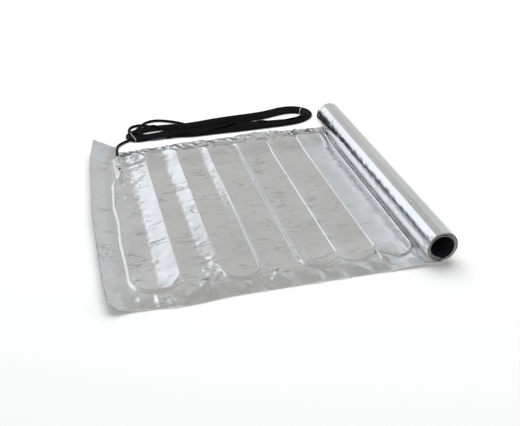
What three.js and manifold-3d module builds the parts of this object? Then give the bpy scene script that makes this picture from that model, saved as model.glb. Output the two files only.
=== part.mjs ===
// Underfloor heating mat: an aluminium foil mat, partly unrolled, with its cold lead in a hank.
// Millimetres, +Z up. The mat lies along X: its free end at -X, its roll at +X, its width along Y.
// The origin is the middle of the mat's footprint, on the floor.

import * as THREE from 'three';
import Module from 'manifold-3d';

const wasm = await Module();
wasm.setup();

// Driving dimensions of the mat
const matWidth = 500;
const foilThickness = 1;
const runPitch = 58.3;
const runCount = 8;
const firstLoopWidth = 71;
const turnInset = 28.7;
const nipDistance = 23;

// Heating cable in its tunnel, and the clearance that every free fit keeps
const cableDiameter = 2.8;
const clearance = 0.3;
const foilCover = 0.5;

// Free end: the flat strip beside the first run, then the margin that curls up, more tightly at its far end
const freeMargin = 36;
const curlRadiusNear = 60;
const curlRadiusFar = 30;
const flatStripNear = 9;
const flatStripFar = 8;
const cornerRadius = 14;

// Roll
const boreRadius = 18;
const rollTurns = 4;
const turnPitch = 1.9;
const turnGap = 0.5;
const turnGapDepth = 2.5;
const rollFacets = 40;

// Splice between the heating cable and the cold lead
const spliceDiameter = 8;
const spliceLength = 64;
const spliceRamp = 20;
const spliceX = -50;
const spliceFarY = 450;
const pocketWall = 0.6;
const pocketMouth = 6;

// Cold lead and its hank
const leadDiameter = 5;
const leadEntryAngle = 0.546;
const hankHeight = 13;
const hankLeft = { x: 6, y: 546, radius: 28 };
const hankRight = { x: 315, y: 566, radius: 43 };
const eyeLeft = { x: 284, y: 561, radius: 13 };
const eyeRight = { x: 315, y: 566, radius: 15 };
const arcSides = 16;

// Ties round the hank, and the bare cores at the lead's end
const tieWidth = 2;
const tieThickness = 1;
const tieRightAngle = 0.61;
const coreDiameter = 2;
const blueCoreLength = 26;
const brownCoreLength = 14;
const coreNotch = { x: 22, y: 520, length: 44, depth: 14, floor: 3.5 };

// Worked-out places
const rollRadius = boreRadius + rollTurns * turnPitch;
const runX = (run) => (run - 2) * runPitch;
const rollX = runX(runCount) + nipDistance;
const tunnelRadius = cableDiameter / 2 + clearance;
const ridgeRadius = tunnelRadius + foilCover;
const cableZ = foilThickness - foilCover + tunnelRadius;
const firstRunX = -firstLoopWidth;
const spliceNearY = spliceFarY - spliceLength;
const pocketRadius = spliceDiameter / 2 + clearance;
const spliceZ = foilThickness - foilCover + pocketRadius;

function point(x, y, z) {
  return new THREE.Vector3(x, y, z);
}

// A path that passes through chosen stations, so that straight stretches need no extra steps.
class StationPath extends THREE.Curve {
  constructor(stations) {
    super();
    this.stations = stations;
  }

  indexAt(u) {
    return Math.round(u * (this.stations.length - 1));
  }

  getPointAt(u) {
    return this.stations[this.indexAt(u)].clone();
  }

  getSpacedPoints() {
    return this.stations.map((station) => station.clone());
  }

  getTangentAt(u) {
    const here = this.indexAt(u);
    const last = this.stations.length - 1;
    const tangent = new THREE.Vector3();
    if (here > 0) {
      tangent.add(this.stations[here].clone().sub(this.stations[here - 1]).normalize());
    }
    if (here < last) {
      tangent.add(this.stations[here + 1].clone().sub(this.stations[here]).normalize());
    }
    return tangent.normalize();
  }
}

function tube(stations, radius, sides) {
  const section = new THREE.Shape();
  for (let side = 0; side < sides; side += 1) {
    const angle = ((side + 0.5) / sides) * 2 * Math.PI;
    const x = radius * Math.cos(angle);
    const y = radius * Math.sin(angle);
    if (side === 0) {
      section.moveTo(x, y);
    } else {
      section.lineTo(x, y);
    }
  }
  section.closePath();
  const path = new StationPath(stations);
  return new THREE.ExtrudeGeometry(section, { steps: stations.length - 1, extrudePath: path });
}

function lengthened(stations, extra) {
  const path = new StationPath(stations);
  const first = path.getTangentAt(0).multiplyScalar(-extra).add(stations[0]);
  const last = path.getTangentAt(1).multiplyScalar(extra).add(stations[stations.length - 1]);
  return [first, ...stations.slice(1, -1), last];
}

// Solid of a geometry, with the corners that lie together made one
function solid(geometry) {
  const position = geometry.getAttribute('position');
  const index = geometry.getIndex();
  const corners = [];
  const triangles = [];
  const known = new Map();
  const cornerCount = index ? index.count : position.count;
  for (let n = 0; n < cornerCount; n += 1) {
    const vertex = index ? index.getX(n) : n;
    const corner = [position.getX(vertex), position.getY(vertex), position.getZ(vertex)];
    const key = corner.map((value) => Math.round(value * 1e4)).join(' ');
    if (!known.has(key)) {
      known.set(key, known.size);
      corners.push(...corner);
    }
    triangles.push(known.get(key));
  }
  const kept = [];
  for (let n = 0; n < triangles.length; n += 3) {
    const [a, b, c] = triangles.slice(n, n + 3);
    if (a !== b && b !== c && c !== a) {
      kept.push(a, b, c);
    }
  }
  return new wasm.Manifold(new wasm.Mesh({
    numProp: 3,
    vertProperties: new Float32Array(corners),
    triVerts: new Uint32Array(kept),
  }));
}

function geometryOf(manifold) {
  const mesh = manifold.getMesh();
  const geometry = new THREE.BufferGeometry();
  geometry.setAttribute('position', new THREE.BufferAttribute(mesh.vertProperties, 3));
  geometry.setIndex(new THREE.BufferAttribute(mesh.triVerts, 1));
  geometry.computeVertexNormals();
  return geometry;
}

function block(low, high) {
  const size = [high[0] - low[0], high[1] - low[1], high[2] - low[2]];
  const geometry = new THREE.BoxGeometry(...size);
  geometry.translate(low[0] + size[0] / 2, low[1] + size[1] / 2, low[2] + size[2] / 2);
  return geometry;
}

// Route of the heating cable, seen from above: run 1 wanders down from the splice, the rest are straight

function firstRun() {
  const startY = spliceNearY - clearance;
  const lowY = startY - spliceRamp;
  return [
    point(spliceX, startY, spliceZ),
    point(spliceX, startY - cableDiameter, spliceZ),
    point(spliceX - 3, startY - spliceRamp / 2, (spliceZ + cableZ) / 2),
    point(spliceX - 10, lowY, cableZ),
    point(firstRunX + 6, 349, cableZ),
    point(firstRunX + 3, 319, cableZ),
    point(firstRunX, 276, cableZ),
    point(firstRunX + 2, 230, cableZ),
    point(firstRunX - 1, 168, cableZ),
    point(firstRunX, 110, cableZ),
  ];
}

function turnStations(fromX, toX, atFarEnd, sweep) {
  const steps = 8;
  const radius = (toX - fromX) / 2;
  const centreX = fromX + radius;
  const centreY = atFarEnd ? matWidth - turnInset - radius : turnInset + radius;
  const bulge = atFarEnd ? 1 : -1;
  const stations = [];
  for (let step = 0; step <= steps; step += 1) {
    const angle = (step / steps) * sweep;
    const x = centreX - radius * Math.cos(angle);
    const y = centreY + bulge * radius * Math.sin(angle);
    stations.push(point(x, y, cableZ));
  }
  return stations;
}

function cableRoute() {
  const stations = firstRun();
  stations.push(...turnStations(firstRunX, runX(2), false, Math.PI));
  for (let run = 2; run < runCount; run += 1) {
    stations.push(...turnStations(runX(run), runX(run + 1), run % 2 === 0, Math.PI));
  }
  stations.push(...turnStations(runX(runCount), runX(runCount + 1), true, Math.PI / 3));
  return stations;
}

// Foil panel: a sheet with a curled free end, bent up from its flat shape

function curlAt(y) {
  const share = y / matWidth;
  const startNear = firstRunX - flatStripNear;
  const startFar = spliceX - pocketRadius - pocketWall - flatStripFar;
  const fromCorner = Math.max(cornerRadius - y, 0);
  const cornerCut = cornerRadius - Math.sqrt(cornerRadius ** 2 - fromCorner ** 2);
  return {
    start: startNear + (startFar - startNear) * share,
    radius: curlRadiusNear + (curlRadiusFar - curlRadiusNear) * share,
    margin: freeMargin - cornerCut,
  };
}

function panelCorner(column, curlColumns, y, height) {
  const curl = curlAt(y);
  if (column >= curlColumns) {
    const share = column - curlColumns;
    return point(curl.start + (rollX - curl.start) * share, y, height);
  }
  const bent = (1 - column / curlColumns) * curl.margin / curl.radius;
  const arm = curl.radius - height;
  return point(curl.start - arm * Math.sin(bent), y, curl.radius - arm * Math.cos(bent));
}

function panelGeometry() {
  const curlColumns = 6;
  const columns = curlColumns + 1;
  const rows = [0, cornerRadius * 0.3, cornerRadius];
  const rowsPastCorner = 6;
  for (let row = 1; row <= rowsPastCorner; row += 1) {
    rows.push(cornerRadius + (matWidth - cornerRadius) * (row / rowsPastCorner));
  }
  const corners = [];
  const faces = [];
  const at = (layer, row, column) => (layer * rows.length + row) * (columns + 1) + column;
  for (const height of [0, foilThickness]) {
    for (const y of rows) {
      for (let column = 0; column <= columns; column += 1) {
        corners.push(...panelCorner(column, curlColumns, y, height).toArray());
      }
    }
  }
  const quad = (a, b, c, d) => faces.push(a, b, c, a, c, d);
  const lastRow = rows.length - 1;
  for (let row = 0; row < lastRow; row += 1) {
    for (let column = 0; column < columns; column += 1) {
      quad(at(1, row, column), at(1, row, column + 1), at(1, row + 1, column + 1), at(1, row + 1, column));
      quad(at(0, row, column), at(0, row + 1, column), at(0, row + 1, column + 1), at(0, row, column + 1));
    }
    quad(at(0, row, 0), at(1, row, 0), at(1, row + 1, 0), at(0, row + 1, 0));
    quad(at(0, row, columns), at(0, row + 1, columns), at(1, row + 1, columns), at(1, row, columns));
  }
  for (let column = 0; column < columns; column += 1) {
    quad(at(0, 0, column), at(0, 0, column + 1), at(1, 0, column + 1), at(1, 0, column));
    quad(at(0, lastRow, column), at(1, lastRow, column), at(1, lastRow, column + 1), at(0, lastRow, column + 1));
  }
  const geometry = new THREE.BufferGeometry();
  geometry.setAttribute('position', new THREE.Float32BufferAttribute(corners, 3));
  geometry.setIndex(faces);
  return geometry;
}

// Roll: turned about its own axis, with the gaps between its turns cut into both ends

function rollGeometry() {
  const profile = [new THREE.Vector2(boreRadius, 0)];
  for (let turn = 1; turn < rollTurns; turn += 1) {
    const radius = boreRadius + turn * turnPitch;
    profile.push(new THREE.Vector2(radius - turnGap / 2, 0));
    profile.push(new THREE.Vector2(radius - turnGap / 2, turnGapDepth));
    profile.push(new THREE.Vector2(radius + turnGap / 2, turnGapDepth));
    profile.push(new THREE.Vector2(radius + turnGap / 2, 0));
  }
  profile.push(new THREE.Vector2(rollRadius, 0));
  const mirrored = profile.map((corner) => new THREE.Vector2(corner.x, matWidth - corner.y)).reverse();
  const closed = [...profile, ...mirrored, profile[0].clone()];
  const geometry = new THREE.LatheGeometry(closed, rollFacets);
  geometry.translate(rollX, 0, rollRadius);
  return geometry;
}

function spliceStations(nearY, farY) {
  return [point(spliceX, nearY, spliceZ), point(spliceX, farY, spliceZ)];
}

function foilMat() {
  const route = cableRoute();
  const ridge = tube(route, ridgeRadius, 8);
  const tunnel = tube(lengthened(route, clearance), tunnelRadius, 8);
  const pocket = tube(spliceStations(spliceNearY - 2, spliceFarY + pocketMouth), pocketRadius + pocketWall, 12);
  const pocketHollow = tube(spliceStations(spliceNearY - clearance, spliceFarY + pocketMouth + 4), pocketRadius, 12);
  const skin = solid(panelGeometry()).add(solid(rollGeometry())).add(solid(ridge)).add(solid(pocket));
  return geometryOf(skin.subtract(solid(tunnel)).subtract(solid(pocketHollow)));
}

// Hank of the cold lead: two round ends joined by straight sides, with an eye in the wide end

function taperedOutline(left, right) {
  const lean = Math.atan2(right.y - left.y, right.x - left.x);
  const span = Math.hypot(right.x - left.x, right.y - left.y);
  const spread = Math.asin((right.radius - left.radius) / span);
  const outline = new THREE.Shape();
  const top = lean + Math.PI / 2 + spread;
  const bottom = lean - Math.PI / 2 - spread;
  outline.absarc(right.x, right.y, right.radius, bottom, top, false);
  outline.absarc(left.x, left.y, left.radius, top, bottom + 2 * Math.PI, false);
  outline.closePath();
  return outline;
}

function hankBody() {
  const outline = taperedOutline(hankLeft, hankRight);
  outline.holes.push(taperedOutline(eyeLeft, eyeRight));
  const body = new THREE.ExtrudeGeometry(outline, {
    depth: hankHeight, steps: 1, bevelEnabled: false, curveSegments: arcSides,
  });
  const notch = block(
    [coreNotch.x, hankLeft.y - hankLeft.radius - 10, coreNotch.floor],
    [coreNotch.x + coreNotch.length, coreNotch.y + coreNotch.depth, hankHeight + 1],
  );
  return solid(body).subtract(solid(notch));
}

// A tie is a flat ring that passes under and over the strands, across the direction that they run.
// It is measured from the middle of the hank's round end that it sits on.
const hankLean = Math.atan2(hankRight.y - hankLeft.y, hankRight.x - hankLeft.x);
const ties = [
  { name: 'tie_left', end: hankLeft, angle: hankLean + Math.PI / 2, from: -hankLeft.radius, to: hankLeft.radius },
  { name: 'tie_right', end: hankRight, angle: tieRightAngle, from: eyeRight.radius, to: hankRight.radius },
];

function tiePlaced(geometry, tie) {
  geometry.rotateX(Math.PI / 2);
  geometry.rotateZ(tie.angle);
  geometry.translate(tie.end.x, tie.end.y, 0);
  return geometry;
}

function rectangle(Outline, low, high) {
  const outline = new Outline();
  outline.moveTo(low[0], low[1]);
  outline.lineTo(high[0], low[1]);
  outline.lineTo(high[0], high[1]);
  outline.lineTo(low[0], high[1]);
  outline.closePath();
  return outline;
}

function tieRing(tie) {
  const low = tie.from - clearance;
  const high = tie.to + clearance;
  const top = hankHeight + clearance;
  const ring = rectangle(THREE.Shape, [low - tieThickness, 0], [high + tieThickness, top + tieThickness]);
  ring.holes.push(rectangle(THREE.Path, [low, tieThickness], [high, top]));
  const geometry = new THREE.ExtrudeGeometry(ring, { depth: tieWidth, steps: 1, bevelEnabled: false });
  geometry.translate(0, 0, -tieWidth / 2);
  return tiePlaced(geometry, tie);
}

function tieGroove(tie) {
  const past = clearance + tieThickness + 1;
  const half = tieWidth / 2 + clearance;
  const geometry = block([tie.from - past, -1, -half], [tie.to + past, tieThickness + clearance, half]);
  return tiePlaced(geometry, tie);
}

function leadHank() {
  let hank = hankBody();
  for (const tie of ties) {
    hank = hank.subtract(solid(tieGroove(tie)));
  }
  return geometryOf(hank);
}

// Cold lead from the splice, over the far margin of the foil, down to the floor and up to the hank
const leadOnFoilZ = foilThickness + clearance + leadDiameter / 2;
const leadOnFloorZ = leadDiameter / 2 + 0.1;
const leadReach = hankLeft.radius + clearance;
const leadEndX = hankLeft.x - leadReach * Math.cos(leadEntryAngle);
const leadEndY = hankLeft.y - leadReach * Math.sin(leadEntryAngle);
const leadRoute = [
  point(spliceX, spliceFarY + clearance, spliceZ),
  point(spliceX + 0.3, 455, spliceZ - 0.1),
  point(spliceX + 0.9, 461, spliceZ - 0.4),
  point(spliceX + 1.6, 467, leadOnFoilZ + 0.3),
  point(spliceX + 2.3, 473, leadOnFoilZ),
  point(spliceX + 2.9, 480, leadOnFoilZ),
  point(spliceX + 3.6, 487, leadOnFoilZ),
  point(spliceX + 4.3, 494, leadOnFoilZ),
  point(spliceX + 5.4, 501, leadOnFoilZ),
  point(spliceX + 7.4, 507.5, leadOnFoilZ - 0.6),
  point(spliceX + 10.8, 514, leadOnFloorZ + 0.2),
  point(spliceX + 15, 519, leadOnFloorZ),
  point(spliceX + 19.6, 523, leadOnFloorZ),
  point(spliceX + 24.2, 526.3, leadOnFloorZ),
  point(leadEndX, leadEndY, leadOnFloorZ),
];

function leadTube() {
  const steps = 14;
  const spline = new THREE.CatmullRomCurve3(leadRoute);
  return tube(spline.getSpacedPoints(steps), leadDiameter / 2, 10);
}

function core(length, y) {
  const farX = coreNotch.x + coreNotch.length - clearance;
  const z = coreNotch.floor + clearance + coreDiameter / 2;
  return tube([point(farX - length, y, z), point(farX, y, z)], coreDiameter / 2, 8);
}

// Materials as the photograph shows them
const foil = new THREE.MeshStandardMaterial({ color: 0xc4c5c6, roughness: 0.28, metalness: 1 });
const cableSheath = new THREE.MeshStandardMaterial({ color: 0x8d1f1c, roughness: 0.5, metalness: 0 });
const leadSheath = new THREE.MeshStandardMaterial({ color: 0x121213, roughness: 0.6, metalness: 0 });
const tieCoat = new THREE.MeshStandardMaterial({ color: 0x8a8c8e, roughness: 0.45, metalness: 0 });
const blueSheath = new THREE.MeshStandardMaterial({ color: 0x1d2c6b, roughness: 0.5, metalness: 0 });
const brownSheath = new THREE.MeshStandardMaterial({ color: 0x4a3a2a, roughness: 0.5, metalness: 0 });

const mat = new THREE.Group();

function addPiece(name, geometry, material) {
  const mesh = new THREE.Mesh(geometry, material);
  mesh.name = name;
  mat.add(mesh);
}

addPiece('foil_mat', foilMat(), foil);
addPiece('heating_cable', tube(cableRoute(), cableDiameter / 2, 8), cableSheath);
addPiece('lead_splice', tube(spliceStations(spliceNearY, spliceFarY), spliceDiameter / 2, 12), leadSheath);
addPiece('cold_lead', leadTube(), leadSheath);
addPiece('lead_hank', leadHank(), leadSheath);
for (const tie of ties) {
  addPiece(tie.name, tieRing(tie), tieCoat);
}
addPiece('core_blue', core(blueCoreLength, coreNotch.y + 8), blueSheath);
addPiece('core_brown', core(brownCoreLength, coreNotch.y + 11), brownSheath);

// Move the middle of the mat's footprint to the origin
const leftCurl = curlAt(cornerRadius);
const leftX = leftCurl.start - leftCurl.radius * Math.sin(leftCurl.margin / leftCurl.radius);
mat.position.set(-(leftX + rollX + rollRadius) / 2, -matWidth / 2, 0);

const group = new THREE.Group();
group.add(mat);

export default group;
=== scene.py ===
"""The looks of an underfloor heating mat: its foil, its roll and the cold lead in a hank. Metres, +Z up."""
import math

import bpy
import numpy as np
from mathutils import Euler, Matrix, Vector, kdtree


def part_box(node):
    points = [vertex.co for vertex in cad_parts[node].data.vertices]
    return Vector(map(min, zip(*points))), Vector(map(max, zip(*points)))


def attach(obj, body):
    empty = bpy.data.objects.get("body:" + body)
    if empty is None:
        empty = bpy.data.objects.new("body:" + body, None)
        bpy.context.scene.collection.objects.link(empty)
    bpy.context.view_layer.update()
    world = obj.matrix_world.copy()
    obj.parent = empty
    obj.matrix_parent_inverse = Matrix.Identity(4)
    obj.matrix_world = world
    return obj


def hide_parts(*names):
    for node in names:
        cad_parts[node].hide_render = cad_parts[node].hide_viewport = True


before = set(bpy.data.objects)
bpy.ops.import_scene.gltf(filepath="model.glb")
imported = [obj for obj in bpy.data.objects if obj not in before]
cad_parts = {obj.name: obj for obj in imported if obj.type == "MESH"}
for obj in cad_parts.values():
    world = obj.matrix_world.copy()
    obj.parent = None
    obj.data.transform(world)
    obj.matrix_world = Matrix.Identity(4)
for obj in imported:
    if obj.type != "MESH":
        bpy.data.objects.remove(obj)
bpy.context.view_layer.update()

# Sizes of the mat, as in the model
MAT_WIDTH = 0.5
RUN_PITCH = 0.0583
RUN_COUNT = 8
FIRST_LOOP = 0.071
TURN_INSET = 0.0287
NIP = 0.023
CORNER = 0.014
ROLL_RADIUS = 0.0256
ROLL_TURNS = 4
TURN_PITCH = 0.0019
SPLICE_X = -0.050
SPLICE_NEAR_Y = 0.386
SPLICE_FAR_Y = 0.450
SHEET = 0.0006
INNER_SHEET = 0.0004

# Plan coordinates: run 2 is at x = 0 and the near edge at y = 0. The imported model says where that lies.
mat_low, mat_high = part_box("foil_mat")
ROLL_X = (RUN_COUNT - 2) * RUN_PITCH + NIP
PLAN_X = mat_high.x - ROLL_RADIUS - ROLL_X
PLAN_Y = mat_low.y


def run_x(run):
    return (run - 2) * RUN_PITCH


def to_frame(points):
    """Plan coordinates to the frame's."""
    return np.asarray(points, float) + np.array([PLAN_X, PLAN_Y, 0.0])


# Camera, floor and light

CAMERA_PLACE = (-0.1209, -0.8353, 0.6309)
CAMERA_LENS_MM = 53.3
CAMERA_SENSOR_MM = 36.0
CAMERA_DOWN = 30.4
CAMERA_RIGHT = 14.85

# Sky: grey level against the sine of the height over the horizon
SKY = [
    (-1.00, 0.78),
    (-0.03, 0.78),
    (0.06, 0.57),
    (0.45, 0.55),
    (0.60, 0.50),
    (0.74, 0.38),
    (0.88, 0.38),
    (1.00, 0.45),
]
SKY_BLUE = 0.985

# Patches of the studio. An edge is where it starts and where it is full: azimuths are degrees from +Y to
# the right, heights are sines. A lean moves an edge sideways above a level.
WINDOW_COLOR = (1.02, 1.07, 1.15)
WINDOW_RIGHT = (2.0, -4.0)
WINDOW_LEFT = (-78, -62)
WINDOW_FOOT = (0.16, 0.22)
WINDOW_HEAD = (0.84, 0.72)
WINDOW_LEAN = (0.50, 1.15)
BAND_COLOR = (0.015, 0.015, 0.015)
BAND_HEAD = (0.22, 0.14)
BAND_FOOT = (-0.45, -0.35)
GLOW_COLOR = (0.61, 0.635, 0.68)
GLOW_LEFT = (17, 21)
GLOW_RIGHT = (60, 45)
GLOW_FOOT = (0.34, 0.39)
GLOW_HEAD = (0.66, 0.56)
GLOW_LEAN = (0.38, -0.70)
BEHIND_COLOR = (0.10, 0.10, 0.10)
BEHIND_LEFT = (-14, -6)
BEHIND_RIGHT = (20, 16)
BEHIND_FOOT = (-0.12, -0.05)
BEHIND_HEAD = (0.32, 0.22)

LIGHT_PLACE = (0.50, 1.20, 2.2)
LIGHT_TARGET = (0.0, 0.1, 0.0)
LIGHT_SIZE = (3.0, 2.4)
LIGHT_POWER = 70.0
FLOOR_REACH = 6.0
FLOOR_DROP = 0.0002


def make_camera():
    data = bpy.data.cameras.new("camera")
    data.lens = CAMERA_LENS_MM
    data.sensor_width = CAMERA_SENSOR_MM
    camera = bpy.data.objects.new("camera", data)
    bpy.context.scene.collection.objects.link(camera)
    camera.location = Vector(to_frame(CAMERA_PLACE))
    camera.rotation_euler = Euler((math.radians(90.0 - CAMERA_DOWN), 0.0, math.radians(-CAMERA_RIGHT)))
    bpy.context.scene.camera = camera


def new_object(name, data):
    obj = bpy.data.objects.new(name, data)
    bpy.context.scene.collection.objects.link(obj)
    return obj


def area_light(name, place, target, size, power):
    data = bpy.data.lights.new(name, "AREA")
    data.shape = "RECTANGLE"
    data.size = size[0]
    data.size_y = size[1]
    data.energy = power
    light = new_object(name, data)
    light.location = Vector(place)
    light.rotation_euler = (Vector(target) - Vector(place)).to_track_quat("-Z", "Y").to_euler()
    return light


def node_material(name):
    material = bpy.data.materials.new(name)
    material.use_nodes = True
    tree = material.node_tree
    shader = tree.nodes["Principled BSDF"]
    return material, tree, shader


def add_node(tree, kind, **settings):
    node = tree.nodes.new(kind)
    for key, value in settings.items():
        if hasattr(node, key):
            setattr(node, key, value)
        else:
            node.inputs[key].default_value = value
    return node


def smooth_between(tree, value, low, high):
    """0 at low, 1 at high, smooth between; low may be the larger."""
    node = add_node(tree, "ShaderNodeMapRange", interpolation_type="SMOOTHSTEP")
    node.inputs["From Min"].default_value = low
    node.inputs["From Max"].default_value = high
    tree.links.new(value, node.inputs["Value"])
    return node.outputs[0]


def times(tree, *values):
    result = values[0]
    for value in values[1:]:
        node = add_node(tree, "ShaderNodeMath", operation="MULTIPLY")
        tree.links.new(result, node.inputs[0])
        tree.links.new(value, node.inputs[1])
        result = node.outputs[0]
    return result


def shifted(tree, azimuth, height, level_and_lean):
    """The azimuth, moved in proportion to the height over a level: an edge set on it leans."""
    level, lean = level_and_lean
    above = add_node(tree, "ShaderNodeMath", operation="SUBTRACT", use_clamp=True)
    above.inputs[1].default_value = level
    tree.links.new(height, above.inputs[0])
    moved = add_node(tree, "ShaderNodeMath", operation="MULTIPLY_ADD")
    moved.inputs[1].default_value = lean
    tree.links.new(above.outputs[0], moved.inputs[0])
    tree.links.new(azimuth, moved.inputs[2])
    return moved.outputs[0]


def degree_edge(tree, azimuth, edge):
    start, full = edge
    return smooth_between(tree, azimuth, math.radians(start), math.radians(full))


def mixed(tree, share, before, color):
    """The color painted over what was there before, by its share."""
    node = add_node(tree, "ShaderNodeMix", data_type="RGBA")
    color_in = [s for s in node.inputs if s.name == "A" and s.type == "RGBA"][0]
    color_b = [s for s in node.inputs if s.name == "B" and s.type == "RGBA"][0]
    color_b.default_value = (*color, 1.0)
    tree.links.new(share, node.inputs[0])
    tree.links.new(before, color_in)
    return [s for s in node.outputs if s.type == "RGBA"][0]


def make_world():
    """A grey studio: a big soft window back left over a dark band, and a glow on the right."""
    world = bpy.data.worlds.new("studio")
    bpy.context.scene.world = world
    world.use_nodes = True
    tree = world.node_tree
    tree.nodes.clear()
    coords = add_node(tree, "ShaderNodeTexCoord")
    split = add_node(tree, "ShaderNodeSeparateXYZ")
    tree.links.new(coords.outputs["Generated"], split.inputs[0])
    height = split.outputs["Z"]
    turn = add_node(tree, "ShaderNodeMath", operation="ARCTAN2")
    tree.links.new(split.outputs["X"], turn.inputs[0])
    tree.links.new(split.outputs["Y"], turn.inputs[1])
    azimuth = turn.outputs[0]
    ramp = add_node(tree, "ShaderNodeValToRGB")
    half = add_node(tree, "ShaderNodeMath", operation="MULTIPLY_ADD")
    half.inputs[1].default_value = 0.5
    half.inputs[2].default_value = 0.5
    tree.links.new(height, half.inputs[0])
    tree.links.new(half.outputs[0], ramp.inputs[0])
    elements = ramp.color_ramp.elements
    while len(elements) < len(SKY):
        elements.new(0.5)
    for element, (place, grey) in zip(elements, SKY):
        element.position = 0.5 + 0.5 * place
        element.color = (grey, grey, grey * SKY_BLUE, 1.0)
    leaned = shifted(tree, azimuth, height, WINDOW_LEAN)
    window_right = degree_edge(tree, leaned, WINDOW_RIGHT)
    window_left = degree_edge(tree, azimuth, WINDOW_LEFT)
    window_foot = smooth_between(tree, height, *WINDOW_FOOT)
    window_head = smooth_between(tree, height, *WINDOW_HEAD)
    window = times(tree, window_right, window_left, window_foot, window_head)
    band_head = smooth_between(tree, height, *BAND_HEAD)
    band_foot = smooth_between(tree, height, *BAND_FOOT)
    band = times(tree, window_right, band_head, band_foot)
    glow_side = shifted(tree, azimuth, height, GLOW_LEAN)
    glow_left = degree_edge(tree, glow_side, GLOW_LEFT)
    glow_right = degree_edge(tree, azimuth, GLOW_RIGHT)
    glow_foot = smooth_between(tree, height, *GLOW_FOOT)
    glow_head = smooth_between(tree, height, *GLOW_HEAD)
    glow = times(tree, glow_left, glow_right, glow_foot, glow_head)
    behind_left = degree_edge(tree, azimuth, BEHIND_LEFT)
    behind_right = degree_edge(tree, azimuth, BEHIND_RIGHT)
    behind_head = smooth_between(tree, height, *BEHIND_HEAD)
    behind_foot = smooth_between(tree, height, *BEHIND_FOOT)
    behind = times(tree, behind_left, behind_right, behind_head, behind_foot)
    color = mixed(tree, glow, ramp.outputs[0], GLOW_COLOR)
    color = mixed(tree, behind, color, BEHIND_COLOR)
    color = mixed(tree, window, color, WINDOW_COLOR)
    color = mixed(tree, band, color, BAND_COLOR)
    background = add_node(tree, "ShaderNodeBackground")
    output = add_node(tree, "ShaderNodeOutputWorld")
    tree.links.new(color, background.inputs[0])
    tree.links.new(background.outputs[0], output.inputs[0])


def make_stage():
    mesh = bpy.data.meshes.new("floor")
    corners = [(FLOOR_REACH * x, FLOOR_REACH * y, 0) for x, y in ((-1, -1), (1, -1), (1, 1), (-1, 1))]
    mesh.from_pydata(corners, [], [(0, 1, 2, 3)])
    floor = new_object("floor", mesh)
    floor.location.z = -FLOOR_DROP
    material, _, shader = node_material("floor_paint")
    shader.inputs["Base Color"].default_value = (0.93, 0.93, 0.93, 1.0)
    shader.inputs["Roughness"].default_value = 0.9
    mesh.materials.append(material)
    floor.visible_glossy = False


def make_lights():
    light = area_light("overhead", LIGHT_PLACE, LIGHT_TARGET, LIGHT_SIZE, LIGHT_POWER)
    light.visible_glossy = False


bpy.context.scene.view_settings.view_transform = "Standard"
make_camera()
make_world()
make_lights()
make_stage()

# Materials


def foil_material():
    """Satin aluminium foil: sparse fine creases, mostly across the mat, and a slightly uneven gloss."""
    material, tree, shader = node_material("foil")
    shader.inputs["Metallic"].default_value = 1.0
    coords = add_node(tree, "ShaderNodeTexCoord")
    stretch = add_node(tree, "ShaderNodeMapping")
    stretch.inputs["Scale"].default_value = (0.30, 1.0, 1.0)
    tree.links.new(coords.outputs["Object"], stretch.inputs["Vector"])
    crinkle = add_node(tree, "ShaderNodeTexNoise", Scale=150.0, Detail=4.0, Roughness=0.55)
    lines = add_node(tree, "ShaderNodeTexNoise", Scale=70.0, Detail=2.0, Roughness=0.5, Distortion=0.6)
    where = add_node(tree, "ShaderNodeTexNoise", Scale=26.0, Detail=2.0, Roughness=0.5)
    broad = add_node(tree, "ShaderNodeTexNoise", Scale=14.0, Detail=3.0, Roughness=0.5)
    tree.links.new(stretch.outputs[0], lines.inputs["Vector"])
    for texture in (crinkle, where, broad):
        tree.links.new(coords.outputs["Object"], texture.inputs["Vector"])
    centred = add_node(tree, "ShaderNodeMath", operation="SUBTRACT")
    centred.inputs[1].default_value = 0.5
    tree.links.new(lines.outputs[0], centred.inputs[0])
    size = add_node(tree, "ShaderNodeMath", operation="ABSOLUTE")
    tree.links.new(centred.outputs[0], size.inputs[0])
    sharp = smooth_between(tree, size.outputs[0], 0.030, 0.0)
    patches = smooth_between(tree, where.outputs[0], 0.50, 0.62)
    creases = times(tree, sharp, patches)
    fine_bump = add_node(tree, "ShaderNodeBump", Strength=0.15, Distance=0.0005)
    crease_bump = add_node(tree, "ShaderNodeBump", Strength=0.8, Distance=0.0004)
    tree.links.new(crinkle.outputs[0], fine_bump.inputs["Height"])
    tree.links.new(creases, crease_bump.inputs["Height"])
    tree.links.new(fine_bump.outputs[0], crease_bump.inputs["Normal"])
    tree.links.new(crease_bump.outputs[0], shader.inputs["Normal"])
    rough = add_node(tree, "ShaderNodeMapRange")
    rough.inputs["To Min"].default_value = 0.19
    rough.inputs["To Max"].default_value = 0.29
    tree.links.new(broad.outputs[0], rough.inputs["Value"])
    tree.links.new(rough.outputs[0], shader.inputs["Roughness"])
    tint = add_node(tree, "ShaderNodeValToRGB")
    tint.color_ramp.elements[0].position = 0.35
    tint.color_ramp.elements[0].color = (0.86, 0.865, 0.86, 1.0)
    tint.color_ramp.elements[1].position = 0.65
    tint.color_ramp.elements[1].color = (0.93, 0.93, 0.925, 1.0)
    tree.links.new(broad.outputs[0], tint.inputs[0])
    tree.links.new(tint.outputs[0], shader.inputs["Base Color"])
    return material


def bore_shade_material():
    """Painted shade: a dull dark grey on the foil of the roll's inner turns, seen only between the turns of
    the roll, standing in for the shade inside the bore.
    """
    material, _, shader = node_material("roll_bore_painted_shade")
    shader.inputs["Base Color"].default_value = (0.035, 0.036, 0.040, 1.0)
    shader.inputs["Roughness"].default_value = 0.5
    shader.inputs["Specular IOR Level"].default_value = 0.25
    return material


FOIL = foil_material()
# Painted shade for the bore of the roll
ROLL_BORE_SHADE = bore_shade_material()

# Route of the heating cable


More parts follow.
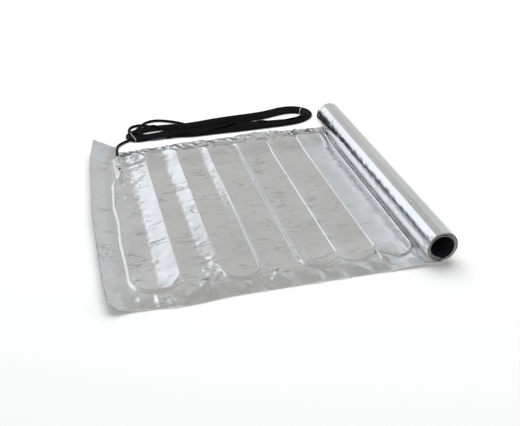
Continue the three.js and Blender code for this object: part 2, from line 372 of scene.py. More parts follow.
def arc(from_x, to_x, at_far_end, sweep, steps=48):
    """Points of a turn of the cable between two runs, from its start on."""
    radius = (to_x - from_x) / 2
    centre_y = MAT_WIDTH - TURN_INSET - radius if at_far_end else TURN_INSET + radius
    bulge = 1 if at_far_end else -1
    angles = np.linspace(0, sweep, steps)
    x = from_x + radius - radius * np.cos(angles)
    y = centre_y + bulge * radius * np.sin(angles)
    return list(zip(x, y))


LINE_STEP = 0.0008

# Run 1 is laid by hand and wanders, from the splice to its turn
FIRST_RUN = [
    (-0.0500, 0.3860),
    (-0.0530, 0.3760),
    (-0.0600, 0.3657),
    (-0.0650, 0.3490),
    (-0.0680, 0.3190),
    (-0.0710, 0.2760),
    (-0.0690, 0.2300),
    (-0.0720, 0.1680),
    (-0.0710, 0.1100),
]


def smooth_line(points, per_span=12):
    """Catmull-Rom curve through the points."""
    points = np.asarray(points, float)
    padded = np.vstack([2 * points[0] - points[1], points, 2 * points[-1] - points[-2]])
    out = []
    for n in range(1, len(padded) - 2):
        a, b, c, d = padded[n - 1 : n + 3]
        for t in np.linspace(0, 1, per_span, endpoint=False):
            straight = 2 * b + (c - a) * t
            square = (2 * a - 5 * b + 4 * c - d) * t**2
            cube = (3 * b - a - 3 * c + d) * t**3
            out.append(0.5 * (straight + square + cube))
    out.append(points[-1])
    return np.array(out)


def cable_line():
    first_turn = (-FIRST_LOOP, TURN_INSET + FIRST_LOOP / 2 + 0.01)
    points = [tuple(p) for p in smooth_line(FIRST_RUN + [first_turn])]
    points += arc(-FIRST_LOOP, 0.0, False, math.pi)
    for run in range(2, RUN_COUNT):
        points += arc(run_x(run), run_x(run + 1), run % 2 == 0, math.pi)
    points += arc(run_x(RUN_COUNT), run_x(RUN_COUNT + 1), True, math.pi * 0.55)
    return resampled(np.array(points), LINE_STEP)


def pressed_arcs():
    """Faint embossed ends of the strips that the cable doesn't close."""
    lines = []
    for run in range(2, RUN_COUNT):
        half_circle = arc(run_x(run), run_x(run + 1), run % 2 == 1, math.pi)
        lines.append(resampled(np.array(half_circle), LINE_STEP))
    return lines


def resampled(points, step):
    """The same line with points at even steps."""
    lengths = np.r_[0, np.cumsum(np.linalg.norm(np.diff(points, axis=0), axis=1))]
    wanted = np.linspace(0, lengths[-1], max(2, int(lengths[-1] / step)))
    columns = [np.interp(wanted, lengths, points[:, k]) for k in range(points.shape[1])]
    return np.stack(columns, axis=1)


def distances(grid_x, grid_y, line):
    """Distance of each grid point to the line."""
    tree = kdtree.KDTree(len(line))
    for n, p in enumerate(line):
        tree.insert((p[0], p[1], 0.0), n)
    tree.balance()
    flat_x, flat_y = grid_x.ravel(), grid_y.ravel()
    near = np.array([tree.find((x, y, 0.0))[1] for x, y in zip(flat_x, flat_y)])
    near = np.clip(near, 1, len(line) - 2)
    along = line[near + 1] - line[near - 1]
    along /= np.linalg.norm(along, axis=1)[:, None]
    offset = np.stack([flat_x, flat_y], axis=1) - line[near]
    across = np.abs(offset[:, 0] * along[:, 1] - offset[:, 1] * along[:, 0])
    straight = np.abs((offset * along).sum(1))
    distance = np.where(straight < 0.0015, across, np.hypot(offset[:, 0], offset[:, 1]))
    return distance.reshape(grid_x.shape)


# The foil panel. It is two pieces, left and right of a seam in a flat place.

SEAM_X = 0.1460
FINE_STEP = 0.0005
MEDIUM_STEP = 0.0010
WIDE_STEP = 0.0024
FINE_TO_X = -0.060
MARGIN_COLUMNS = 26


def fine_columns():
    """Places of the panel's columns from run 1 on: close together by each run, wider between."""
    places = [FIXED_FROM]
    while places[-1] < ROLL_X + 0.002:
        here = places[-1]
        gap = min(abs(here - run_x(run)) for run in range(2, RUN_COUNT + 1))
        if gap < 0.0030 or here < FINE_TO_X:
            step = FINE_STEP
        elif gap < 0.006 or here < SPLICE_X + 0.008:
            step = MEDIUM_STEP
        else:
            step = WIDE_STEP
        places.append(here + step)
    return np.array(places)


def fine_rows():
    """Places of the panel's rows: close together at the tops of the turns."""
    rows = [0.0]
    while rows[-1] < MAT_WIDTH - 0.0005:
        here = min(rows[-1], MAT_WIDTH - rows[-1])
        if 0.0255 < here < 0.040:
            step = 0.0009
        elif here < 0.105:
            step = 0.0019
        else:
            step = WIDE_STEP
        rows.append(rows[-1] + step)
    rows[-1] = MAT_WIDTH
    return np.array(rows)


def crease(x, y, cx, cy, angle, length, width, height, bend=0.0):
    """One crease of the foil: a narrow ridge with a sharp top that fades out at both ends."""
    c, s = math.cos(angle), math.sin(angle)
    p = (x - cx) * c + (y - cy) * s
    q = -(x - cx) * s + (y - cy) * c - bend * p * p
    fade = np.clip(1 - (p / (length / 2)) ** 2, 0, 1) ** 1.5
    return height * fade * np.exp(-np.sqrt(q * q + (0.25 * width) ** 2) / (0.5 * width))


def waves(x, y, scale, count, seed):
    """Soft undulation: a sum of waves of about one wavelength, from -1 to 1."""
    rng = np.random.default_rng(seed)
    total = np.zeros_like(x)
    for _ in range(count):
        angle = rng.uniform(0, 2 * math.pi)
        k = 2 * math.pi / (scale * rng.uniform(0.7, 1.5))
        total += np.sin(k * (x * math.cos(angle) + y * math.sin(angle)) + rng.uniform(0, 2 * math.pi))
    return total / count


# Columns left of this x share out the free margin, which curls
FIXED_FROM = -0.080
# The curl at five places along the free end
CURL_Y = [0.0, 0.05, 0.25, 0.45, 0.50]
CURL_START = [-0.066, -0.072, -0.070, -0.060, -0.0465]
CURL_BEND = [0.060, 0.060, 0.055, 0.040, 0.012]
CURL_TILT = [0.72, 0.60, 0.60, 0.60, 0.50]
CURL_WIDTH = [0.0435, 0.040, 0.0425, 0.042, 0.046]


def curl(y):
    """Where the free margin starts to curl at each y, its radius, its steepest tilt and its width."""
    table = (CURL_START, CURL_BEND, CURL_TILT, CURL_WIDTH)
    start, radius, tilt, width = [np.interp(y, CURL_Y, row) for row in table]
    from_corner = np.maximum(CORNER - y, 0)
    cut = CORNER - np.sqrt(CORNER**2 - from_corner**2)
    return start, radius, tilt, width - cut


def near_folds(x, y):
    """Folds in the near margin: x, y, angle, length, width and height, with a soft fold under each."""
    folds = [
        (-0.038, 0.012, 1.75, 0.030, 0.004, 0.0016),
        (-0.020, 0.010, 0.9, 0.016, 0.003, 0.0010),
        (-0.062, 0.014, 1.8, 0.026, 0.004, 0.0008),
        (0.010, 0.018, 1.2, 0.022, 0.004, 0.0010),
        (0.034, 0.026, 1.55, 0.044, 0.0035, 0.0018),
        (0.029, 0.030, 1.0, 0.022, 0.004, 0.0012),
        (0.088, 0.018, 1.75, 0.020, 0.003, 0.0012),
        (0.080, 0.010, 1.0, 0.016, 0.003, 0.0008),
        (0.131, 0.026, 0.95, 0.036, 0.004, 0.0014),
        (0.126, 0.014, 2.0, 0.020, 0.003, 0.0014),
        (0.140, 0.018, 1.7, 0.026, 0.005, 0.0010),
        (0.190, 0.012, 1.8, 0.024, 0.003, 0.0014),
        (0.205, 0.018, 2.3, 0.026, 0.003, 0.0010),
        (0.255, 0.014, 2.5, 0.034, 0.004, 0.0014),
        (0.280, 0.018, 2.4, 0.030, 0.005, 0.0014),
        (0.300, 0.022, 1.6, 0.030, 0.004, 0.0012),
    ]
    sharp = sum(crease(x, y, *fold) for fold in folds)
    for cx, cy, angle, length, width, height in folds:
        sharp = sharp + crease(x, y, cx, cy, angle, length, 3.4 * width, 1.5 * height)
    return sharp


def far_folds(x, y):
    """Folds in the far margin and by the splice, listed as in near_folds."""
    folds = [
        (-0.012, 0.462, -0.35, 0.030, 0.004, 0.0022),
        (-0.030, 0.437, 0.05, 0.036, 0.005, 0.0014),
        (-0.008, 0.432, 0.45, 0.034, 0.005, 0.0016),
        (-0.020, 0.414, -0.1, 0.030, 0.005, 0.0012),
        (-0.018, 0.372, 0.6, 0.026, 0.004, 0.0012),
        (0.006, 0.300, 0.35, 0.030, 0.003, 0.0008),
        (0.060, 0.478, 1.9, 0.024, 0.004, 0.0014),
        (0.118, 0.484, 1.3, 0.026, 0.004, 0.0014),
        (0.170, 0.484, 2.0, 0.034, 0.004, 0.0014),
        (0.196, 0.478, 1.95, 0.046, 0.0035, 0.0022),
        (0.230, 0.486, 0.2, 0.030, 0.005, 0.0014),
        (0.262, 0.480, 0.3, 0.040, 0.006, 0.0014),
        (0.150, 0.440, 0.8, 0.022, 0.005, 0.0010),
    ]
    return sum(crease(x, y, *fold) for fold in folds)


def long_creases(x, y):
    """The creases that stand out, each between two points of the plan, and its height."""
    ends = [
        (-0.0605, 0.2527, -0.0114, 0.2348, 0.0011),
        (0.0063, 0.2449, 0.0322, 0.2430, 0.0010),
        (0.0683, 0.1772, 0.1136, 0.1920, 0.0013),
        (0.0187, 0.1295, 0.0469, 0.1335, 0.0012),
        (0.1444, 0.3683, 0.1758, 0.3681, 0.0008),
        (-0.0491, 0.1618, -0.0147, 0.1585, 0.0009),
        (-0.0816, 0.4405, -0.0546, 0.4416, 0.0012),
        (0.0543, 0.1550, 0.0827, 0.1626, 0.0011),
        (0.2321, 0.2348, 0.2645, 0.2369, 0.0006),
        (0.2880, 0.2905, 0.3245, 0.3044, 0.0009),
        (0.1561, 0.1969, 0.1696, 0.1675, 0.0014),
        (-0.0550, 0.2050, -0.0250, 0.2010, 0.0008),
        (-0.0560, 0.3050, -0.0200, 0.2980, 0.0009),
        (0.0080, 0.3300, 0.0420, 0.3330, 0.0007),
        (-0.1050, 0.3800, -0.0760, 0.3720, 0.0010),
        (-0.1020, 0.1900, -0.0760, 0.1960, 0.0010),
    ]
    total = np.zeros_like(x)
    for x0, y0, x1, y1, height in ends:
        angle = math.atan2(y1 - y0, x1 - x0)
        length = math.hypot(x1 - x0, y1 - y0)
        total += crease(x, y, (x0 + x1) / 2, (y0 + y1) / 2, angle, length * 1.2, 0.0035, height)
    return total


SMALL_CREASES = 210


def small_creases(x, y):
    """Short creases strewn over the strips, most of them across the runs."""
    rng = np.random.default_rng(21)
    total = np.zeros_like(x)
    for _ in range(SMALL_CREASES):
        cx = rng.uniform(-0.10, ROLL_X - 0.03)
        cy = rng.uniform(0.03, 0.47)
        angle = rng.normal(0.1, 0.35)
        length = rng.uniform(0.010, 0.034)
        height = rng.uniform(0.0002, 0.0009) * (1.0 if cx < 0.12 else 0.6)
        total += crease(x, y, cx, cy, angle, length, rng.uniform(0.002, 0.0045), height, rng.normal(0, 6.0))
    return total


def margin_waves(x, y):
    """Ripples of the loose foil along both edges. The far ones start right of the lead."""
    far = np.clip((y - 0.458) / 0.020, 0, 1)
    near = np.clip((0.040 - y) / 0.040, 0, 1)
    ripple = waves(x, 0.35 * y, 0.040, 9, 3)
    fine = waves(x, 0.6 * y, 0.013, 12, 4)
    crumple = 1 - np.abs(waves(x, 0.5 * y, 0.018, 8, 7)) * 3
    far = far * np.clip((x + 0.0465) / 0.003, 0, 1)
    rough = 0.0030 * ripple + 0.0022 * fine + 0.0012 * crumple
    return far * rough + near * (0.0024 * ripple + 0.0012 * fine)


def far_share(y):
    """0 on the sheet, 1 at the far edge."""
    return np.clip((y - 0.455) / 0.045, 0, 1)


def near_share(y):
    """0 on the sheet, 1 at the near edge."""
    return np.clip((0.030 - y) / 0.030, 0, 1)


def edge_lift(x, y):
    """How far the whole sheet rises off the floor along its edges."""
    far = far_share(y) ** 2
    hump = 0.0045 * np.exp(-(((x - 0.225) / 0.045) ** 2)) + 0.0030 * np.exp(-(((x - 0.10) / 0.03) ** 2))
    near = near_share(y) ** 2
    near_hump = 0.0040 * np.exp(-(((x - 0.34) / 0.04) ** 2)) + 0.0015 * np.exp(-(((x + 0.07) / 0.03) ** 2))
    return far * hump + near * near_hump


def margin_crumple(x, y):
    """Crumpled foil on the free margin."""
    where = np.exp(-(((y - 0.125) / 0.05) ** 2)) * np.exp(-(((x + 0.103) / 0.014) ** 2))
    return where * (0.0046 * waves(x, y, 0.018, 10, 11) + 0.0018 * waves(x, y, 0.008, 10, 12))


def crumpled_patches(x, y):
    """Places where the foil is crushed: by the splice, and at the ends of a few strips."""
    patches = [
        (-0.026, 0.437, 0.020, 0.022, 0.0022),
        (-0.040, 0.375, 0.010, 0.030, 0.0020),
        (0.042, 0.080, 0.013, 0.035, 0.0017),
        (0.160, 0.445, 0.012, 0.018, 0.0024),
    ]
    total = np.zeros_like(x)
    for cx, cy, across, along, height in patches:
        where = np.exp(-(((x - cx) / across) ** 4) - (((y - cy) / along) ** 4))
        rough = waves(x * 0.7, y, 0.017, 10, 71) + 0.4 * waves(x * 0.7, y, 0.008, 10, 72)
        total += where * height * rough
    return total


CREST = 0.0033


def ridge_height(distance):
    """Foil drawn tight over the cable: a round crest and steep flanks."""
    return CREST * np.exp(-((distance / 0.0018) ** 3)) + 0.0002 * np.exp(-distance / 0.004)


# Each strip rises to the run on its right: the share of its width where that starts, and the rise in mm
# at four places from the near end to the far end
RISE_Y = [0.03, 0.15, 0.30, 0.45]
STRIP_RISES = [
    (0.53, (5.4, 5.4, 5.3, 5.2)),
    (0.57, (3.0, 4.6, 5.4, 5.6)),
    (0.72, (0.6, 1.4, 3.3, 4.7)),
    (0.80, (0.0, 0.0, 0.0, 0.8)),
    (0.35, (2.6, 2.8, 2.8, 2.6)),
    (0.20, (5.4, 5.8, 5.8, 5.4)),
]
LAST_STRIP_DROP = (6.0, 2.7)


def strip_rise(x, y):
    """The foil spans from the foot of a strip up to the run on its right, more at some than others."""
    total = np.zeros_like(x)
    edges = [-FIRST_LOOP] + [run_x(run) for run in range(2, RUN_COUNT)]
    for (left, right), (start, rises) in zip(zip(edges, edges[1:]), STRIP_RISES):
        share = (x - left) / (right - left)
        height = np.interp(y, RISE_Y, rises) * 0.001
        climb = np.clip((share - start) / (1 - start), 0, 1) ** 1.1
        jagged = np.exp(-(((share - start - 0.03) / 0.07) ** 2)) * (start > 0.5)
        ragged = 0.0010 * waves(x * 0.35, y, 0.016, 12, 51) + 0.0005 * waves(x * 0.35, y, 0.006, 12, 52)
        radius = (right - left) / 2
        bow = radius - np.sqrt(np.clip(radius**2 - (x - left - radius) ** 2, 0, None))
        inside = np.clip((y - TURN_INSET - bow) / 0.004 + 0.5, 0, 1)
        inside = inside * np.clip((MAT_WIDTH - TURN_INSET - bow - y) / 0.004 + 0.5, 0, 1)
        total += np.where((share > 0) & (share <= 1), inside * (height * climb + jagged * ragged), 0)
    # The last strip comes down from its run on the left to the foot of the roll
    high, low = LAST_STRIP_DROP
    last = run_x(RUN_COUNT - 1)
    places = [last - 1e-6, last, run_x(RUN_COUNT), run_x(RUN_COUNT) + 0.005, ROLL_X]
    ends = np.clip((y - 0.020) / 0.040, 0, 1) * np.clip((0.485 - y) / 0.030, 0, 1)
    return total + 0.001 * np.interp(x, places, [0, high, low, low - 1.2, 0.2]) * ends


FAR_LIFT_X = [-0.04, 0.09, 0.13, 0.18, 0.22, 0.33]
FAR_LIFT = [0.0050, 0.0054, 0.0040, 0.0040, 0.0054, 0.0054]


def far_lift(x, y):
    """The sheet rises over the far turns and slopes down to the far edge."""
    up = np.clip((y - 0.395) / 0.065, 0, 1)
    up = up * up * (3 - 2 * up)
    down = np.clip((MAT_WIDTH - y) / 0.044, 0, 1)
    amount = np.interp(x, FAR_LIFT_X, FAR_LIFT)
    return (amount + 0.0024 * waves(x, 0 * y, 0.05, 9, 61)) * up * down


def near_lift(x, y):
    """The sheet lies a little raised over the near turns and slopes down to the near edge."""
    up = np.clip((0.085 - y) / 0.050, 0, 1)
    up = up * up * (3 - 2 * up)
    down = np.clip(y / 0.027, 0, 1)
    before_roll = np.clip((0.33 - x) / 0.03, 0, 1)
    return (0.0026 + 0.0012 * waves(x, 0 * y, 0.06, 9, 62)) * up * down * before_roll


def pocket_height(x, y):
    """The crumpled pocket over the splice."""
    across = (x - SPLICE_X) / 0.0046
    near_end = np.clip((y - SPLICE_NEAR_Y + 0.020) / 0.014, 0, 1)
    far_end = np.clip((SPLICE_FAR_Y + 0.008 - y) / 0.006, 0, 1)
    shape = np.exp(-np.abs(across) ** 4.0) * near_end * far_end
    crumple = 1 + 0.35 * waves(x, y, 0.010, 9, 15) + 0.20 * waves(x, y, 0.005, 9, 16)
    return 0.0092 * shape * crumple


def panel_fields(x, y):
    """Height of the top foil above the lower one, from the plan coordinates of the flat sheet."""
    to_cable = distances(x, y, CABLE)
    height = np.maximum(ridge_height(to_cable), strip_rise(x, y))
    near_splice = np.clip((y - 0.336) / 0.016, 0, 1) * (x < -0.03) * (y < SPLICE_FAR_Y)
    height = height + 0.0028 * near_splice * np.exp(-((to_cable / 0.0028) ** 2.4))
    for line in pressed_arcs():
        height = height + 0.0007 * np.exp(-((distances(x, y, line) / 0.0011) ** 2))
    free = np.clip(to_cable / 0.010, 0.25, 1)
    taut = 1 - 0.65 * np.clip(strip_rise(x, y) / 0.0015, 0, 1) * (x < 0.07)
    height += free * taut * small_creases(x, y) + crumpled_patches(x, y)
    height += 0.00045 * np.exp(-((to_cable / 0.0013) ** 2)) * (x > 0.20)
    height += free * 0.00030 * waves(x, y, 0.060, 12, 5)
    height += free * 0.00022 * waves(x, y, 0.022, 14, 6)
    height += near_folds(x, y) + far_folds(x, y) + free * long_creases(x, y)
    height += margin_waves(x, y) + margin_crumple(x, y)
    return np.maximum(height, pocket_height(x, y) + 0.3 * height)


def grid_faces(rows, columns, offset=0, flip=False):
    """The four-sided faces of a grid of points."""
    r, c = np.meshgrid(np.arange(rows - 1), np.arange(columns - 1), indexing="ij")
    a = (offset + r * columns + c).ravel()
    quads = np.stack([a, a + 1, a + columns + 1, a + columns], axis=1)
    return quads[:, ::-1] if flip else quads


def closed_sheet(name, top, bottom, wall=None):
    """A thin solid between two grids of points of the same shape. Its rim has points of its own, and
    where a wall material is given, all but the rim has it."""
    rows, columns = top.shape[:2]
    points = np.concatenate([top.reshape(-1, 3), bottom.reshape(-1, 3)])
    half = rows * columns
    faces = [grid_faces(rows, columns), grid_faces(rows, columns, half, True)]
    ring = list(range(columns))
    ring += [r * columns + columns - 1 for r in range(1, rows)]
    ring += [(rows - 1) * columns + c for c in range(columns - 2, -1, -1)]
    ring += [r * columns for r in range(rows - 2, 0, -1)]
    ring = np.array(ring)
    count = len(ring)
    upper = 2 * half + np.arange(count)
    lower = upper + count
    faces.append(np.stack([upper, lower, np.roll(lower, -1), np.roll(upper, -1)], axis=1))
    points = np.concatenate([points, points[ring], points[ring + half]])
    mesh = bpy.data.meshes.new(name)
    mesh.from_pydata(to_frame(points).tolist(), [], np.concatenate(faces).tolist())
    mesh.polygons.foreach_set("use_smooth", np.ones(len(mesh.polygons), bool))
    mesh.materials.append(FOIL)
    if wall:
        mesh.materials.append(wall)
        sheet_faces = len(mesh.polygons) - count
        mesh.polygons.foreach_set("material_index", (np.arange(len(mesh.polygons)) < sheet_faces) * 1)
    mesh.update()
    piece = new_object(name, mesh)
    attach(piece, "root")
    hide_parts("foil_mat")
    return piece


def far_inset(x, y):
    """The far edge lies back from its straight line, most of all just right of the lead."""
    depth = np.interp(x, [-0.047, -0.043, 0.0, 0.05, 0.15, 0.20], [0.0, 0.015, 0.012, 0.007, 0.004, 0.0])
    return depth * far_share(y)


def near_outset(x, y):
    """The near edge comes forward a little between runs 1 and 3."""
    depth = 0.004 + 0.006 * np.exp(-((x / 0.045) ** 2))
    return depth * near_share(y)


def make_panel():
    rows = fine_rows()
    right = fine_columns()
    start, radius, tilt, margin = curl(rows)
    edge = start - margin
    share = np.linspace(0, 1, MARGIN_COLUMNS, endpoint=False)
    flat_left = edge[:, None] + share[None, :] * (FIXED_FROM - edge)[:, None]
    flat_x = np.concatenate([flat_left, np.repeat(right[None, :], len(rows), axis=0)], axis=1)
    grid_y = np.repeat(rows[:, None], flat_x.shape[1], axis=1)
    past = np.maximum(start[:, None] - flat_x, 0)
    radius, tilt, start = radius[:, None], tilt[:, None], start[:, None]
    bend = np.minimum(past / radius, tilt)
    straight = np.maximum(past - radius * tilt, 0)
    base_x = np.where(past > 0, start - radius * np.sin(bend) - straight * np.cos(bend), flat_x)
    base_z = radius * (1 - np.cos(bend)) + straight * np.sin(bend)
    over_lead = 0.0055 * far_share(grid_y) ** 1.3
    far = np.where(flat_x > -0.0455, far_lift(flat_x, grid_y), over_lead)
    lift = edge_lift(flat_x, grid_y) + near_lift(flat_x, grid_y) + far
    height = panel_fields(flat_x, grid_y)
    under_roll = np.clip((flat_x - (ROLL_X - 0.012)) / 0.008, 0, 1)
    height = height * (1 - under_roll)
    height = np.maximum(height, -lift * 0.9)
    base_y = grid_y - far_inset(flat_x, grid_y) - near_outset(flat_x, grid_y)
    normal = np.stack([np.sin(bend), np.zeros_like(bend), np.cos(bend)], axis=-1)
    base = np.stack([base_x, base_y, base_z + lift], axis=-1)
    top = base + normal * (SHEET + height)[..., None]
    seam = int(np.argmin(np.abs(flat_x[0] - SEAM_X)))
    closed_sheet("foil_panel_left", top[:, : seam + 1], base[:, : seam + 1])
    closed_sheet("foil_panel_right", top[:, seam:], base[:, seam:])


# The roll

ROLL_CREASES = 90


def roll_dents(theta, y):
    """Bumps of the roll's outer turn: runs of cable under it, soft waves and short creases."""
    arc_length = theta * ROLL_RADIUS
    total = 0.00018 * waves(arc_length, y * 0.25, 0.030, 10, 31)
    total = total + 0.00010 * waves(arc_length, y, 0.020, 12, 32)
    left_side = np.exp(-(((arc_length - 0.108) / 0.007) ** 2))
    dents = 0.0006 * waves(arc_length, y, 0.022, 12, 34) + 0.0002 * waves(arc_length, y, 0.009, 9, 35)
    total = total + left_side * dents
    for run in range(1, 4):
        place = run * RUN_PITCH - NIP
        total = total + 0.0005 * np.exp(-(((arc_length - place) / 0.0022) ** 2))
    rng = np.random.default_rng(33)
    for _ in range(ROLL_CREASES):
        cx = rng.uniform(0.01, 0.155)
        cy = rng.uniform(0.01, 0.49)
        angle = rng.normal(0.0, 0.5)
        length = rng.uniform(0.006, 0.018)
        width = rng.uniform(0.0015, 0.004)
        height = rng.uniform(-0.0003, 0.0004)
        total += crease(arc_length, y, cx, cy, angle, length, width, height)
    return total


def make_roll():
    """The sheet goes on under the roll, up its right side, over the top and round inside itself."""
    outer_steps, inner_steps = 112, 192
    outer = np.linspace(0, 2 * math.pi * 1.06, outer_steps)
    rows = np.linspace(0, MAT_WIDTH, 230)
    place_turn("foil_roll", outer, rows, SHEET, True)
    inner = np.linspace(2 * math.pi * 1.04, 2 * math.pi * ROLL_TURNS, inner_steps)
    few = np.concatenate([np.linspace(0, 0.04, 9), np.linspace(0.06, 0.44, 8), np.linspace(0.46, 0.5, 9)])
    place_turn("foil_roll_inside", inner, few, INNER_SHEET, False)


def place_turn(name, theta, rows, sheet, dented):
    """A stretch of the roll's spiral. Theta is its angle from under the roll."""
    grid_theta, grid_y = np.meshgrid(theta, rows)
    radius = ROLL_RADIUS - TURN_PITCH * grid_theta / (2 * math.pi)
    if dented:
        ends = np.clip(grid_theta / 0.5, 0, 1)
        radius = radius + ends * roll_dents(grid_theta, grid_y)
    else:
        radius = radius + 0.00025 * waves(grid_theta * 0.02, grid_y * 0.2, 0.05, 8, 41)
    slip = 0.0014 * np.sin(0.83 * grid_theta + 0.4) * np.clip(grid_theta / 6.0, 0, 1)
    grid_y = grid_y + slip

    def at(r):
        across = ROLL_X + r * np.sin(grid_theta)
        up = ROLL_RADIUS - r * np.cos(grid_theta)
        return np.stack([across, grid_y, up], axis=-1)

    # The inner turns get the painted-shade material on both faces, for the dark bore; their rim stays foil
    closed_sheet(name, at(radius - sheet), at(radius), None if dented else ROLL_BORE_SHADE)


# The cold lead

LEAD = 0.005
CORE_RADIUS = 0.0010
TIE_RADIUS = 0.0007
LAYER_RISE = 0.0042
LEAD_ROUTE = [
    (-0.0500, 0.4503, 0.0048),
    (-0.0497, 0.4550, 0.0047),
    (-0.0491, 0.4610, 0.0044),
    (-0.0484, 0.4670, 0.0041),
    (-0.0477, 0.4730, 0.0038),
    (-0.0471, 0.4800, 0.0038),
    (-0.0464, 0.4870, 0.0038),
    (-0.0457, 0.4940, 0.0038),
    (-0.0446, 0.5010, 0.0038),
    (-0.0426, 0.5075, 0.0032),
    (-0.0392, 0.5140, 0.0028),
    (-0.0350, 0.5190, 0.0026),
    (-0.0304, 0.5230, 0.0026),
    (-0.0258, 0.5263, 0.0026),
    (-0.0182, 0.5313, 0.0026),
]
# From there the lead eases into the hank's first lap
LEAD_EASE = [(-0.0080, 0.5335, 0.0026), (0.0060, 0.5320, 0.0026)]
# Outer and inner outline of the hank from above, from its left end along the front and back again
HANK_OUTER = [
    (-0.0350, 0.5480),
    (-0.0280, 0.5290),
    (-0.0080, 0.5190),
    (0.0240, 0.5260),
    (0.0610, 0.5270),
    (0.1000, 0.5180),
    (0.1500, 0.5180),
    (0.2000, 0.5170),
    (0.2500, 0.5190),
    (0.3000, 0.5240),
    (0.3340, 0.5320),
    (0.3550, 0.5480),
    (0.3640, 0.5710),
    (0.3590, 0.6000),
    (0.3390, 0.6190),
    (0.3060, 0.6210),
    (0.2690, 0.6080),
    (0.2200, 0.6040),
    (0.1740, 0.6050),
    (0.1200, 0.5960),
    (0.0900, 0.5980),
    (0.0500, 0.6050),
    (0.0200, 0.6040),
    (-0.0110, 0.5900),
    (-0.0300, 0.5680),
]
HANK_INNER = [
    (0.0030, 0.5530),
    (0.0080, 0.5430),
    (0.0170, 0.5400),
    (0.0300, 0.5460),
    (0.0610, 0.5560),
    (0.1000, 0.5550),
    (0.1500, 0.5560),
    (0.2000, 0.5570),
    (0.2500, 0.5560),
    (0.2980, 0.5470),
    (0.3260, 0.5490),
    (0.3400, 0.5570),
    (0.3465, 0.5700),
    (0.3400, 0.5810),
    (0.3250, 0.5820),
    (0.3000, 0.5780),
    (0.2660, 0.5640),
    (0.2200, 0.5580),
    (0.1740, 0.5570),
    (0.1200, 0.5560),
    (0.0900, 0.5570),
    (0.0500, 0.5570),
    (0.0280, 0.5590),
    (0.0160, 0.5620),
    (0.0080, 0.5590),
]
LOOPS = 7
# The lane of each lap, counted from the outside, and the layer that it starts in
LANE_ORDER = [0, 2, 4, 6, 1, 3, 5]
LAYER = [0, 0, 0, 0, 1, 1, 1]
# Two loops stand out at the back left: where each leaves the back of the hank, and its way round
STRAY_BACK = [
    (0.0900, 0.5890, 0.0090),
    (0.0730, 0.6010, 0.0090),
    (0.0570, 0.6110, 0.0080),
    (0.0420, 0.6170, 0.0070),
    (0.0280, 0.6150, 0.0070),
    (0.0165, 0.6040, 0.0080),
    (0.0090, 0.5870, 0.0110),
    (-0.0020, 0.5710, 0.0110),
]
STRAY_LEFT = [
    (0.0320, 0.5850, 0.0100),
    (0.0180, 0.5930, 0.0110),
    (0.0050, 0.6000, 0.0080),
    (-0.0090, 0.5985, 0.0070),
    (-0.0160, 0.5870, 0.0070),
    (-0.0150, 0.5710, 0.0080),
    (-0.0170, 0.5540, 0.0080),
]
# The lead's last stretch, back over the hank to its stripped end
LAST_STRAND = [
    (0.3060, 0.5900, 0.0090),
    (0.2690, 0.5800, 0.0105),
    (0.2400, 0.5700, 0.0110),
    (0.2100, 0.5560, 0.0115),
    (0.1800, 0.5430, 0.0115),
    (0.1500, 0.5360, 0.0115),
    (0.1200, 0.5310, 0.0110),
    (0.0900, 0.5290, 0.0110),
    (0.0700, 0.5280, 0.0105),
    (0.0520, 0.5285, 0.0100),
]


def lap(loop):
    """One lap of the lead round the hank, anticlockwise from the left end, gliding in by one lane."""
    outer = np.array(HANK_OUTER + HANK_OUTER[:1])
    inner = np.array(HANK_INNER + HANK_INNER[:1])
    points = []
    for n in range(len(outer) - 1):
        share = n / (len(outer) - 1)
        lane = LANE_ORDER[loop] * (1 - share) + LANE_ORDER[min(loop + 1, LOOPS - 1)] * share
        tucked_in = min(max(min((share - 0.68) / 0.12, (1 - share) / 0.08), 0), 1)
        lane = min(lane + 1.6 * tucked_in, LOOPS - 0.7)
        band = max(float(np.linalg.norm(outer[n] - inner[n])), 0.001)
        room = (band - LEAD) / (LOOPS - 1)
        depth = (LEAD / 2 + lane * min(room, LEAD * 1.3)) / band
        x, y = outer[n] + depth * (inner[n] - outer[n])
        z = LEAD / 2 + LAYER[loop] * LAYER_RISE
        points.append((x, y, z))
    return points


def hank_route():
    """The whole lead: its way to the hank, its laps, two of them with a stray loop, and the last strand."""
    points = LEAD_ROUTE + LEAD_EASE
    for loop in range(LOOPS):
        here = lap(loop)
        if loop == 0:
            here = here[3:]
        if loop == 2:
            here = here[:20] + STRAY_BACK
        if loop == 5:
            here = here[:22] + STRAY_LEFT
        if loop == LOOPS - 1:
            here = here[:15] + LAST_STRAND
        points += here
    return smooth_line(points, 8)


SETTLE_ROUNDS = 160
SINK = 0.00012
HELD_IN_PLAN = 0.02
STIFFNESS = 0.20
KEPT_POINTS = 16


def settled(line):
    """Push touching strands apart and let them sink on to the floor, with the start kept in place."""
    rest = line.copy()
    count = len(line)
    apart = np.abs(np.subtract.outer(np.arange(count), np.arange(count)))
    far_enough = apart > 4
    for _ in range(SETTLE_ROUNDS):
        gap = line[:, None, :] - line[None, :, :]
        distance = np.sqrt((gap**2).sum(-1)) + 1e-9
        overlap = np.where(far_enough, np.maximum(LEAD * 1.01 - distance, 0), 0)
        push = (gap / distance[..., None] * overlap[..., None]).sum(1)
        touching = np.maximum((overlap > 0).sum(1), 1)
        line = line + 0.45 * push / touching[:, None]
        line[:, 2] -= SINK
        line[:, :2] += HELD_IN_PLAN * (rest[:, :2] - line[:, :2])
        line[1:-1] += STIFFNESS * (0.5 * (line[:-2] + line[2:]) - line[1:-1])
        line[:, 2] = np.maximum(line[:, 2], LEAD / 2)
        line[:KEPT_POINTS] = rest[:KEPT_POINTS]
    return line


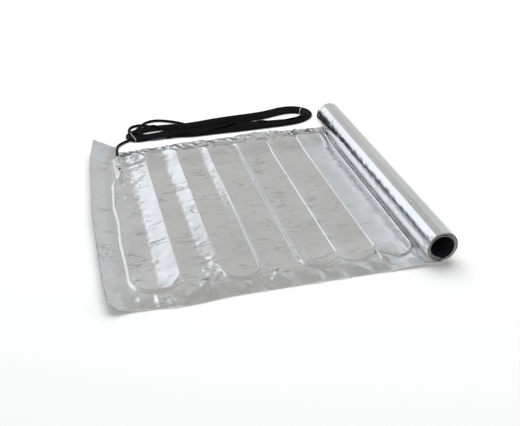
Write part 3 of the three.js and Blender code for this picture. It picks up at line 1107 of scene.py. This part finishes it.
def tie_ring(name, line, middle, across, reach):
    """A thin tie round the strands that cross a line on the floor."""
    middle = np.array(middle)
    across = np.array(across) / np.hypot(*across)
    ahead = np.array([-across[1], across[0]])
    side = (line[:, :2] - middle) @ ahead
    hits = np.nonzero(np.sign(side[:-1]) != np.sign(side[1:]))[0]
    spots = np.array([((line[n, :2] - middle) @ across, line[n, 2]) for n in hits])
    spots = spots[np.abs(spots[:, 0]) < reach]
    loop = []
    for angle in np.linspace(0, 2 * math.pi, 48, endpoint=False):
        outward = np.array([math.cos(angle), math.sin(angle)])
        far = spots[np.argmax(spots @ outward)] + outward * (LEAD / 2 + TIE_RADIUS)
        loop.append((*(middle + across * far[0]), max(far[1], 0.0008)))
    loop.append(loop[0])
    grey = plain_material(name, (0.55, 0.56, 0.58), 0.35)
    return tube(name, resampled(np.array(loop), 0.001), TIE_RADIUS, grey)


def rubber_material():
    material, _, shader = node_material("lead_sheath")
    shader.inputs["Base Color"].default_value = (0.0025, 0.0025, 0.003, 1.0)
    shader.inputs["Roughness"].default_value = 0.5
    shader.inputs["Specular IOR Level"].default_value = 0.10
    return material


def plain_material(name, color, roughness):
    material, _, shader = node_material(name)
    shader.inputs["Base Color"].default_value = (*color, 1.0)
    shader.inputs["Roughness"].default_value = roughness
    return material


def tube(name, line, radius, material):
    data = bpy.data.curves.new(name, "CURVE")
    data.dimensions = "3D"
    data.bevel_depth = radius
    data.bevel_resolution = 4
    data.use_fill_caps = True
    spline = data.splines.new("POLY")
    spline.points.add(len(line) - 1)
    spline.points.foreach_set("co", np.c_[to_frame(line), np.ones(len(line))].ravel())
    spline.use_smooth = True
    data.materials.append(material)
    obj = new_object(name, data)
    return obj


# The bare cores, from the lead's end on
BLUE_STEPS = [(0, 0, 0), (-0.008, -0.0010, 0.0010), (-0.017, -0.0015, 0.0008), (-0.030, -0.0010, 0.0004)]
BROWN_STEPS = [(0, 0.0016, 0), (-0.007, 0.0022, 0.0002), (-0.013, 0.0030, 0.0)]


def make_lead():
    line = settled(resampled(hank_route(), 0.0062))
    line = resampled(smooth_line(line, 3), 0.0022)
    lead = tube("lead", line, LEAD / 2, rubber_material())
    end = line[-1]
    blue = smooth_line([end + step for step in BLUE_STEPS])
    brown = smooth_line([end + step for step in BROWN_STEPS])
    blue_paint = plain_material("core_blue", (0.008, 0.012, 0.09), 0.4)
    brown_paint = plain_material("core_brown", (0.12, 0.10, 0.06), 0.4)
    pieces = [
        tube("blue_core", blue, CORE_RADIUS, blue_paint),
        tube("brown_core", brown, CORE_RADIUS, brown_paint),
    ]
    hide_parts("core_blue")
    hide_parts("core_brown")
    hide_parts("cold_lead", "lead_hank")
    ties = [
        tie_ring("left_tie", line, (-0.0110, 0.5450), (0.0065, -0.032), 0.027),
        tie_ring("right_tie", line, (0.3460, 0.5900), (0.012, 0.022), 0.024),
    ]
    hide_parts("tie_left")
    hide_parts("tie_right")
    for piece in [lead] + pieces + ties:
        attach(piece, "root")


CABLE = cable_line()
make_lead()
make_panel()
make_roll()
